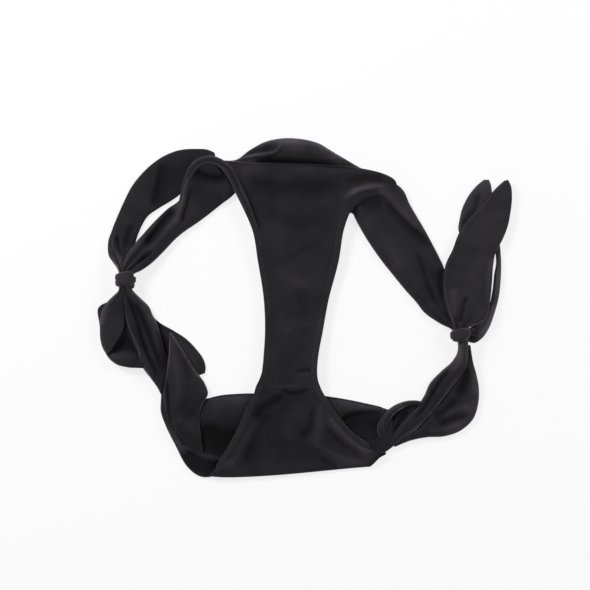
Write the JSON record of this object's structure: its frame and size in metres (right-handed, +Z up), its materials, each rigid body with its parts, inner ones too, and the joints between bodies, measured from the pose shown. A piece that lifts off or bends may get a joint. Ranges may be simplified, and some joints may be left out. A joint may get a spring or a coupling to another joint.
{
  "type": "tie-side swim brief",
  "caption": "Tie-side swim brief lying flat: lined front and back panels on a narrow crotch strip, doubled waist bands and twisted ties knotted at both sides.",
  "frame": {"origin": "on the surface the brief lies on, in the middle of its footprint", "axes": "+X from the left knot's side to the right knot's side, +Y from the front band to the back band, +Z up from the surface towards the crotch strip"},
  "size_m": [0.4112, 0.3381, 0.022],
  "materials": {
    "cloth": "matte stretch knit",
    "lining": "matte fine knit",
    "thread": "matte thread",
    "elastic": "matte"
  },
  "bodies": {
    "brief": {"back_panel": "cloth", "back_lining": "lining", "front_panel": "cloth", "front_lining": "lining", "gusset_lining": "lining", "crotch_seam": "thread", "back_band": "cloth", "front_band": "cloth", "left_leg_binding": "cloth", "right_leg_binding": "cloth", "back_waist_binding": "cloth", "front_waist_binding": "cloth", "left_leg_elastic": "elastic", "right_leg_elastic": "elastic", "back_waist_elastic": "elastic", "front_waist_elastic": "elastic", "left_back_tie": "cloth", "right_back_tie": "cloth", "left_front_tie": "cloth", "right_front_tie": "cloth", "left_knot_wrap": "cloth", "left_knot_core": "cloth", "right_knot_wrap": "cloth", "right_knot_core": "cloth"},
    "left_upper_tail": {"left_upper_tail": "cloth"},
    "left_lower_tail": {"left_lower_tail": "cloth"},
    "right_near_tail": {"right_near_tail": "cloth"},
    "right_far_tail": {"right_far_tail": "cloth"}
  },
  "joints": [
    {"name": "left_upper_tail_swing", "type": "hinge", "parent": "brief", "child": "left_upper_tail", "pos_m": [-0.18442, 0.04423, 0.011], "axis": [0, 0, 1], "range_deg": [0, 30]},
    {"name": "left_lower_tail_swing", "type": "hinge", "parent": "brief", "child": "left_lower_tail", "pos_m": [-0.17941, 0.00979, 0.007], "axis": [0, 0, 1], "range_deg": [0, 18]},
    {"name": "right_near_tail_swing", "type": "hinge", "parent": "brief", "child": "right_near_tail", "pos_m": [0.15305, -0.01213, 0.0145], "axis": [0, 0, 1], "range_deg": [-20, 5]},
    {"name": "right_far_tail_swing", "type": "hinge", "parent": "brief", "child": "right_far_tail", "pos_m": [0.16875, -0.02028, 0.004], "axis": [0, 0, 1], "range_deg": [-25, 3]}
  ]
}
